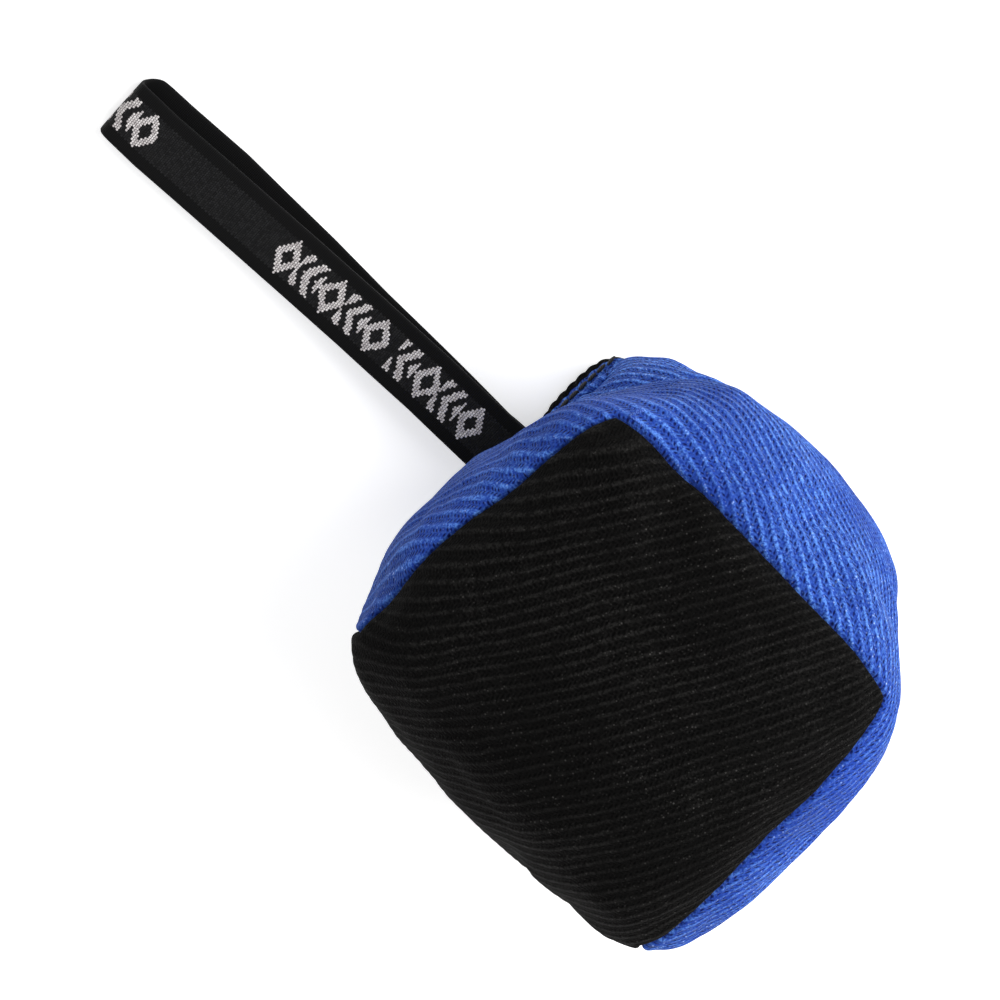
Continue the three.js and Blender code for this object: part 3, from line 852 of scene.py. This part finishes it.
def twill_group():
    """Heavy ribbed twill. Each rib repeat has three rows of interlacing: one stands up as the
    rib, and the other two leave a pinhole at each crossing, staggered and slanted in turn."""
    tree, n, came, goes = start_group(
        "heavy twill",
        [("Cloth", "NodeSocketVector"), ("Place", "NodeSocketVector")],
        [(label, "NodeSocketFloat") for label in WEAVE_MAPS])
    cloth = n.add("ShaderNodeSeparateXYZ")
    n.link(came.outputs["Cloth"], cloth.inputs[0])
    place = came.outputs["Place"]
    wobble_u = n.math("MULTIPLY", n.math("SUBTRACT", n.noise(place, 260.0), 0.5), 1.2)
    wobble_v = n.math("MULTIPLY", n.math("SUBTRACT", n.noise(place, 200.0, 3.0), 0.5), 1.1)
    u = n.math("ADD", n.math("MULTIPLY", cloth.outputs[0], 100.0), wobble_u)
    v = n.math("ADD", n.math("MULTIPLY", cloth.outputs[1], 100.0), wobble_v)
    rise, run = math.sin(RIB_ANGLE), math.cos(RIB_ANGLE)
    along = n.math("SUBTRACT", n.math("MULTIPLY", u, run), n.math("MULTIPLY", v, rise))
    up = n.math("ADD", n.math("MULTIPLY", u, rise), n.math("MULTIPLY", v, run))
    repeats = n.math("MULTIPLY", up, MM / RIB_PITCH)
    rows = n.math("MULTIPLY", repeats, float(WEAVE_ROWS))
    row = n.math("FLOOR", rows)
    across = n.math("SUBTRACT", n.math("FRACT", rows), 0.5)
    kind = n.math("FLOORED_MODULO", row, float(WEAVE_ROWS))
    lean = n.math("MULTIPLY", n.math("MULTIPLY", n.math("SUBTRACT", kind, 1.0), 0.55), across)
    steps = n.math("ADD", n.math("DIVIDE", along, WEAVE_STEP), n.math("MULTIPLY", row, 0.5))
    steps = n.math("ADD", steps, lean)
    crossing = n.math("SUBTRACT", n.math("FRACT", steps), 0.5)
    spot = n.add("ShaderNodeCombineXYZ")
    n.link(row, spot.inputs[0])
    n.link(n.math("FLOOR", steps), spot.inputs[1])
    chance = n.random(spot.outputs[0])
    strand = n.noise(place, 1500.0, 4.0)
    off_row = n.math("POWER", n.math("MULTIPLY", n.math("ABSOLUTE", across), 2.1), 2.0)
    off_crossing = n.math("POWER", n.math("MULTIPLY", n.math("ABSOLUTE", crossing), 3.4), 2.0)
    off = n.math("SQRT", n.math("ADD", off_row, off_crossing))
    pinhole = n.between(off, 1.4, 0.25)
    is_rib = n.math("COMPARE", kind, 1.0, 0.1)
    between_ribs = n.math("SUBTRACT", 1.0, n.math("MULTIPLY", is_rib, 0.72))
    loose = n.between(n.noise(place, 620.0, 3.0), 0.32, 0.6, 0.15, 1.1)
    hole = n.math("MULTIPLY", n.math("MULTIPLY", pinhole, between_ribs), loose, clamp=True)
    from_rib = n.math("MULTIPLY", n.math("FRACT", repeats), 2.0)
    from_rib = n.math("ABSOLUTE", n.math("SUBTRACT", from_rib, 1.0))
    rib = n.between(from_rib, 0.5, 0.05)
    turns = n.math("ADD", along, n.math("MULTIPLY", repeats, 2.2))
    twist = n.math("SINE", n.math("MULTIPLY", turns, 2 * math.pi / 0.58))
    solid = n.math("MULTIPLY", n.math("SUBTRACT", 1.0, hole), 0.5)
    height = n.math("ADD", n.math("MULTIPLY", rib, 0.45), solid)
    height = n.math("ADD", height, n.math("MULTIPLY", twist, 0.04))
    height = n.math("ADD", height, n.math("MULTIPLY", n.math("SUBTRACT", strand, 0.5), 1.1))
    specks = n.add("ShaderNodeTexVoronoi")
    n.link(place, specks.inputs["Vector"])
    specks.inputs["Scale"].default_value = 1300.0
    pick = n.add("ShaderNodeSeparateXYZ")
    n.link(specks.outputs["Color"], pick.inputs[0])
    speck = n.between(specks.outputs["Distance"], 0.42, 0.2)
    lint = n.math("MULTIPLY", n.math("GREATER_THAN", pick.outputs[0], 0.82), speck)
    raised = n.math("ADD", 0.3, n.math("MULTIPLY", rib, 0.7))
    lint = n.math("MULTIPLY", lint, raised)
    for label, value in zip(WEAVE_MAPS, (height, hole, rib, chance, strand, lint)):
        n.link(value, goes.inputs[label])
    return tree


def dye_and_shade_group():
    """The twill's dyed colour, with painted shade in its rib valleys and pinholes and a painted highlight
    on the tops of its ribs.
    """
    tree, n, came, goes = start_group(
        "dyed twill, painted shade and highlight",
        [(label, "NodeSocketFloat") for label in WEAVE_MAPS]
        + [("Place", "NodeSocketVector"), ("Deep Shade", "NodeSocketColor"), ("Shade", "NodeSocketColor"),
           ("Lit", "NodeSocketColor"), ("Lint Colour", "NodeSocketColor"),
           ("Valley Shade", "NodeSocketFloat")],
        [("Colour", "NodeSocketColor"), ("Rough", "NodeSocketFloat")])
    place, strand = came.outputs["Place"], came.outputs["Strand"]
    # Painted highlight: the rib tops lean towards the lit colour and the rest stays the shaded colour,
    # varied at random by yarn, strand and patch.
    lit = n.math("ADD", n.math("MULTIPLY", came.outputs["Rib"], 0.62), 0.24)
    lit = n.math("MULTIPLY", lit, n.math("ADD", 0.3, n.math("MULTIPLY", came.outputs["Yarn"], 0.8)))
    lit = n.math("MULTIPLY", lit, n.between(strand, 0.36, 0.64, 0.1, 1.9), clamp=True)
    lit = n.math("MULTIPLY", lit, n.between(n.noise(place, 18.0, 2.0), 0.38, 0.64, 0.35, 1.2), clamp=True)
    colour = n.mix(lit, came.outputs["Shade"], came.outputs["Lit"])
    # Painted shade: away from the rib tops the colour is darkened towards the deep shade colour.
    low = n.math("MULTIPLY", n.math("SUBTRACT", 1.0, came.outputs["Rib"]), came.outputs["Valley Shade"])
    colour = n.mix(low, colour, came.outputs["Deep Shade"])
    wear = n.between(n.noise(place, 22.0, 3.0), 0.35, 0.7, 0.88, 1.08)
    tone = n.add("ShaderNodeCombineXYZ")
    for socket in tone.inputs:
        n.link(wear, socket)
    colour = n.mix(1.0, colour, tone.outputs[0], "MULTIPLY")
    # Painted shade in the pinholes.
    colour = n.mix(came.outputs["Hole"], colour, came.outputs["Deep Shade"])
    patch = n.between(n.noise(place, 34.0, 2.0), 0.4, 0.65, 0.4, 1.0)
    linted = n.math("MULTIPLY", came.outputs["Lint"], patch, clamp=True)
    colour = n.mix(linted, colour, came.outputs["Lint Colour"])
    n.link(colour, goes.inputs["Colour"])
    n.link(n.between(came.outputs["Height"], 0.2, 1.2, 0.94, 0.78), goes.inputs["Rough"])
    return tree


def start_material(name):
    """A new material, the short calls for its nodes, and its shader's inputs."""
    material = bpy.data.materials.new(name)
    material.use_nodes = True
    shader = material.node_tree.nodes["Principled BSDF"]
    return material, Nodes(material.node_tree), shader.inputs


def raise_surface(n, shader, height, strength, distance):
    """Lets the height shade the surface."""
    bump = n.add("ShaderNodeBump")
    bump.inputs["Strength"].default_value = strength
    bump.inputs["Distance"].default_value = distance
    n.link(height, bump.inputs["Height"])
    n.link(bump.outputs[0], shader["Normal"])


def canvas(name, deep_shade, shade, lit, valley_shade, lint_colour, specular, sheen, sheen_tint):
    """Twill canvas in one dyed colour, with painted shade in its valleys and pinholes and a painted
    highlight on its rib tops.
    """
    material, n, shader = start_material(name)
    where = n.add("ShaderNodeTexCoord")
    cloth = n.add("ShaderNodeUVMap", uv_map="weave")
    weave = n.add("ShaderNodeGroup", node_tree=TWILL)
    n.link(cloth.outputs[0], weave.inputs["Cloth"])
    n.link(where.outputs["Object"], weave.inputs["Place"])
    dye_and_shade = n.add("ShaderNodeGroup", node_tree=DYE_AND_SHADE)
    for label in WEAVE_MAPS:
        n.link(weave.outputs[label], dye_and_shade.inputs[label])
    n.link(where.outputs["Object"], dye_and_shade.inputs["Place"])
    for label, value in (("Deep Shade", deep_shade), ("Shade", shade), ("Lit", lit),
                         ("Lint Colour", lint_colour), ("Valley Shade", valley_shade)):
        dye_and_shade.inputs[label].default_value = value
    n.link(dye_and_shade.outputs["Colour"], shader["Base Color"])
    n.link(dye_and_shade.outputs["Rough"], shader["Roughness"])
    shader["Sheen Weight"].default_value = sheen
    shader["Sheen Roughness"].default_value = 0.35
    shader["Sheen Tint"].default_value = sheen_tint
    shader["Specular IOR Level"].default_value = specular
    raise_surface(n, shader, weave.outputs["Height"], 1.0, 0.42 * MM)
    return material


DOT = 0.74                 # millimetres between woven dots
CELL = 8.8                 # one diamond or arrow of the pattern
DIAMOND_HALVES = (4.4, 6.3)    # along and across
ARROW_PITCH = 4.5
ARROW_WIDTH = 2.5
ARROW_LEAN = 0.55
ARROW_HALF = 5.7           # across
BAND_HALF = 6.2            # half width of the dotted middle band
# Where each block starts along the webbing in millimetres, and its number of cells
PATTERN_BLOCKS = ((31, 4), (68.8, 5), (161, 4), (198.8, 5))


def webbing_material():
    """Black webbing with fine cross ribs, a dotted middle band, and blocks of a woven pattern
    of diamonds and arrowheads in off-white thread."""
    material, n, shader = start_material("woven webbing")
    uv = n.add("ShaderNodeUVMap", uv_map="weave")
    cloth = n.add("ShaderNodeSeparateXYZ")
    n.link(uv.outputs[0], cloth.inputs[0])
    s = n.math("MULTIPLY", cloth.outputs[0], 100.0)
    y = n.math("MULTIPLY", cloth.outputs[1], 100.0)
    ribs = n.math("ABSOLUTE", n.math("SINE", n.math("MULTIPLY", s, math.pi / 0.55)))
    ends = n.math("ABSOLUTE", n.math("SINE", n.math("MULTIPLY", y, math.pi / 0.6)))

    column = n.math("FLOOR", n.math("DIVIDE", s, DOT))
    half_step = n.math("MULTIPLY", n.math("FLOORED_MODULO", column, 2.0), 0.5)
    shifted = n.math("ADD", n.math("DIVIDE", y, DOT), half_step)
    row = n.math("FLOOR", shifted)
    from_left = n.math("SUBTRACT", n.math("FRACT", n.math("DIVIDE", s, DOT)), 0.5)
    from_low = n.math("SUBTRACT", n.math("FRACT", shifted), 0.5)
    off = n.math("ADD", n.math("MULTIPLY", from_left, from_left),
                 n.math("MULTIPLY", from_low, from_low))
    off = n.math("SQRT", off)
    dot = n.between(off, 0.6, 0.38)
    dot_s = n.math("MULTIPLY", n.math("ADD", column, 0.5), DOT)
    dot_y = n.math("SUBTRACT", n.math("ADD", row, 0.5), half_step)
    dot_y = n.math("ABSOLUTE", n.math("MULTIPLY", dot_y, DOT))

    mark = None
    for start, cells in PATTERN_BLOCKS:
        along = n.math("DIVIDE", n.math("SUBTRACT", dot_s, start), CELL)
        number = n.math("FLOOR", along)
        across = n.math("MULTIPLY", n.math("SUBTRACT", n.math("FRACT", along), 0.5), CELL)
        diamond = n.math("ADD", n.math("DIVIDE", n.math("ABSOLUTE", across), DIAMOND_HALVES[0]),
                         n.math("DIVIDE", dot_y, DIAMOND_HALVES[1]))
        ring = n.math("MULTIPLY", n.math("LESS_THAN", diamond, 1.05),
                      n.math("GREATER_THAN", diamond, 0.5))
        arrow = n.math("ADD", across, n.math("MULTIPLY", dot_y, ARROW_LEAN))
        arrow = n.math("FLOORED_MODULO", arrow, ARROW_PITCH)
        arrow = n.math("MULTIPLY", n.math("LESS_THAN", arrow, ARROW_WIDTH),
                       n.math("LESS_THAN", dot_y, ARROW_HALF))
        odd = n.math("FLOORED_MODULO", number, 2.0)
        shape = n.math("ADD", n.math("MULTIPLY", ring, n.math("SUBTRACT", 1.0, odd)),
                       n.math("MULTIPLY", arrow, odd))
        inside = n.math("MULTIPLY", n.math("GREATER_THAN", number, -0.5),
                        n.math("LESS_THAN", number, cells - 0.5))
        block = n.math("MULTIPLY", shape, inside)
        mark = block if mark is None else n.math("MAXIMUM", mark, block)

    middle = n.math("LESS_THAN", dot_y, BAND_HALF)
    pits = n.math("MULTIPLY", n.math("MULTIPLY", n.math("SUBTRACT", 1.0, mark), middle), dot)
    spot = n.add("ShaderNodeCombineXYZ")
    n.link(column, spot.inputs[0])
    n.link(row, spot.inputs[1])
    chance = n.random(spot.outputs[0])
    thread = n.mix(chance, (0.50, 0.46, 0.46, 1), (0.86, 0.82, 0.81, 1))
    # Painted shade: the ground is darker between the fine cross ribs and lighter on their tops.
    ground = n.mix(ribs, (0.0008, 0.0008, 0.0009, 1), (0.004, 0.004, 0.0042, 1))
    # Painted highlight: the raised woven dots of the middle band are painted lighter.
    pit_light = n.math("MULTIPLY", pits, n.math("ADD", 0.25, n.math("MULTIPLY", chance, 0.5)))
    ground = n.mix(pit_light, ground, (0.024, 0.024, 0.025, 1))
    weft = n.math("MULTIPLY", mark, dot)
    n.link(n.mix(weft, ground, thread), shader["Base Color"])
    n.link(n.between(ribs, 0.0, 1.0, 0.8, 0.6), shader["Roughness"])
    shader["Sheen Weight"].default_value = 0.03
    shader["Sheen Roughness"].default_value = 0.4
    shader["Specular IOR Level"].default_value = 0.12
    height = n.math("ADD", n.math("MULTIPLY", ribs, 0.5), n.math("MULTIPLY", ends, 0.15))
    height = n.math("ADD", height, n.math("MULTIPLY", n.math("MULTIPLY", dot, middle), 0.8))
    raise_surface(n, shader, height, 0.9, 0.22 * MM)
    return material


def ply_group():
    """The twisted plies of sewing thread, with painted shade in the grooves between plies and a painted
    highlight on their crests.
    """
    tree, n, came, goes = start_group(
        "twisted plies",
        [("Place", "NodeSocketVector"), ("Groove Shade", "NodeSocketColor"), ("Light", "NodeSocketColor")],
        [("Colour", "NodeSocketColor"), ("Rough", "NodeSocketFloat"), ("Height", "NodeSocketFloat")])
    wave = n.add("ShaderNodeTexWave", bands_direction="DIAGONAL")
    n.link(came.outputs["Place"], wave.inputs["Vector"])
    wave.inputs["Scale"].default_value = 900.0
    wave.inputs["Distortion"].default_value = 1.0
    # Painted shade in the grooves between plies and painted highlight on their crests, from the same wave
    # as the bumps.
    n.link(n.mix(wave.outputs["Fac"], came.outputs["Groove Shade"], came.outputs["Light"]), goes.inputs["Colour"])
    n.link(n.between(wave.outputs["Fac"], 0.0, 1.0, 0.75, 0.5), goes.inputs["Rough"])
    n.link(wave.outputs["Fac"], goes.inputs["Height"])
    return tree


def thread_material(name, groove_shade, light):
    """Sewing thread in one colour, given as its painted groove shade and its painted crest highlight."""
    material, n, shader = start_material(name)
    where = n.add("ShaderNodeTexCoord")
    plies = n.add("ShaderNodeGroup", node_tree=PLIES)
    n.link(where.outputs["Object"], plies.inputs["Place"])
    plies.inputs["Groove Shade"].default_value = groove_shade
    plies.inputs["Light"].default_value = light
    n.link(plies.outputs["Colour"], shader["Base Color"])
    n.link(plies.outputs["Rough"], shader["Roughness"])
    raise_surface(n, shader, plies.outputs["Height"], 0.5, 0.15 * MM)
    return material


def fibre_material():
    """Loose off-white stuffing fibre, painted darker between its raised strands as painted shade."""
    material, n, shader = start_material("stuffing fibre")
    where = n.add("ShaderNodeTexCoord")
    strands = n.noise(where.outputs["Object"], 420.0, 6.0)
    # Painted shade: the colour is darker where the strands' bumps are low.
    n.link(n.mix(strands, (0.55, 0.53, 0.48, 1), (0.9, 0.88, 0.84, 1)), shader["Base Color"])
    n.link(n.between(strands, 0.3, 0.7, 1.0, 0.85), shader["Roughness"])
    raise_surface(n, shader, strands, 0.8, 0.8 * MM)
    return material


TWILL = twill_group()
DYE_AND_SHADE = dye_and_shade_group()
PLIES = ply_group()
# Each canvas gets its deep shade, shaded and lit colours, which are painted shade and painted highlight
# of one dye, and its share of painted valley shade.
BLACK_CANVAS = canvas(
    "black canvas",
    (0.0012, 0.0012, 0.0012, 1), (0.0031, 0.0029, 0.0028, 1), (0.0155, 0.0149, 0.0144, 1),
    0.25, (0.05, 0.048, 0.046, 1), 0.05, 0.015, (0.75, 0.72, 0.7, 1))
BLUE_CANVAS = canvas(
    "blue canvas", (0.003, 0.007, 0.085, 1), (0.014, 0.051, 0.37, 1), (0.11, 0.28, 0.84, 1),
    0.12, (0.34, 0.48, 0.90, 1), 0.12, 0.2, (0.45, 0.66, 1.0, 1))
WEBBING_CLOTH = webbing_material()
# Each thread's colour is given as a painted groove shade and a painted crest highlight.
BLACK_THREAD = thread_material("black thread", (0.004, 0.004, 0.004, 1), (0.03, 0.03, 0.032, 1))
BLUE_THREAD = thread_material("blue thread", (0.02, 0.06, 0.4, 1), (0.1, 0.24, 0.8, 1))
FIBRE = fibre_material()


def dress(obj, material, body):
    """Gives a piece its material and the body that it rides on."""
    obj.data.materials.clear()
    obj.data.materials.append(material)
    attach(obj, body)


# ---------------------------------------------------------------- assembly

cover_black, cover_blue = make_covers()
dress(cover_black, BLACK_CANVAS, "ball")
dress(cover_blue, BLUE_CANVAS, "ball")
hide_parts("black_cover_strip")
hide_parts("blue_cover_strip")

fin_blue = fin_ply("fin_ply_blue", 1, -0.6 * MM)
fin_black = fin_ply("fin_ply_black", -1, 3.4 * MM)
dress(fin_blue, BLUE_CANVAS, "ball")
dress(fin_black, BLACK_CANVAS, "ball")

for name, side, node in (("stitches_blue_side", 1, "closing_stitch_blue_side"),
                         ("stitches_black_side", -1, "closing_stitch_black_side")):
    row = closing_stitches(name, side)
    dress(row, BLACK_THREAD, "ball")
    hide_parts(node)

handle = make_handle()
handle.data.materials.append(WEBBING_CLOTH)
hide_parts("handle_loop", "handle_tail_upper", "handle_tail_lower")
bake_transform(handle)

lump = stuffing()
dress(lump, FIBRE, "ball")
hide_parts("fibre_filling")

inner_thread = seam_thread()
dress(inner_thread, BLACK_THREAD, "ball")
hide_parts("inner_seam_thread")

tuft = thread_tuft()
dress(tuft, BLUE_THREAD, "ball")
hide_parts("corner_thread_end")

# ---------------------------------------------------------------- floor and light

FLOOR_GLOW = 0.5
WORLD_LIGHT = 0.5
LAMPS = (("key_light", (-0.6, -0.8, 1.0), 20, 0.9),     # name, place, watts, size
         ("fill_light", (-0.9, 0.6, 1.0), 3, 1.0))


def studio():
    """A pale light table, an even white world and two soft lamps."""
    bm = bmesh.new()
    bmesh.ops.create_grid(bm, x_segments=1, y_segments=1, size=6)
    floor = bm_object("floor", bm)
    paper, _, shader = start_material("studio floor")
    shader["Base Color"].default_value = (0.94, 0.94, 0.94, 1)
    shader["Roughness"].default_value = 0.9
    shader["Emission Color"].default_value = (1, 1, 1, 1)
    shader["Emission Strength"].default_value = FLOOR_GLOW
    floor.data.materials.append(paper)
    world = bpy.data.worlds.new("studio")
    world.use_nodes = True
    background = world.node_tree.nodes["Background"].inputs
    background["Color"].default_value = (1, 1, 1, 1)
    background["Strength"].default_value = WORLD_LIGHT
    scene.world = world
    for name, place, power, size in LAMPS:
        light = bpy.data.lights.new(name, "AREA")
        light.energy = power
        light.size = size
        lamp = bpy.data.objects.new(name, light)
        lamp.location = place
        aim = Vector((0, 0, 0.06)) - Vector(place)
        lamp.rotation_euler = aim.to_track_quat("-Z", "Y").to_euler()
        scene.collection.objects.link(lamp)
    scene.view_settings.view_transform = "Standard"


studio()
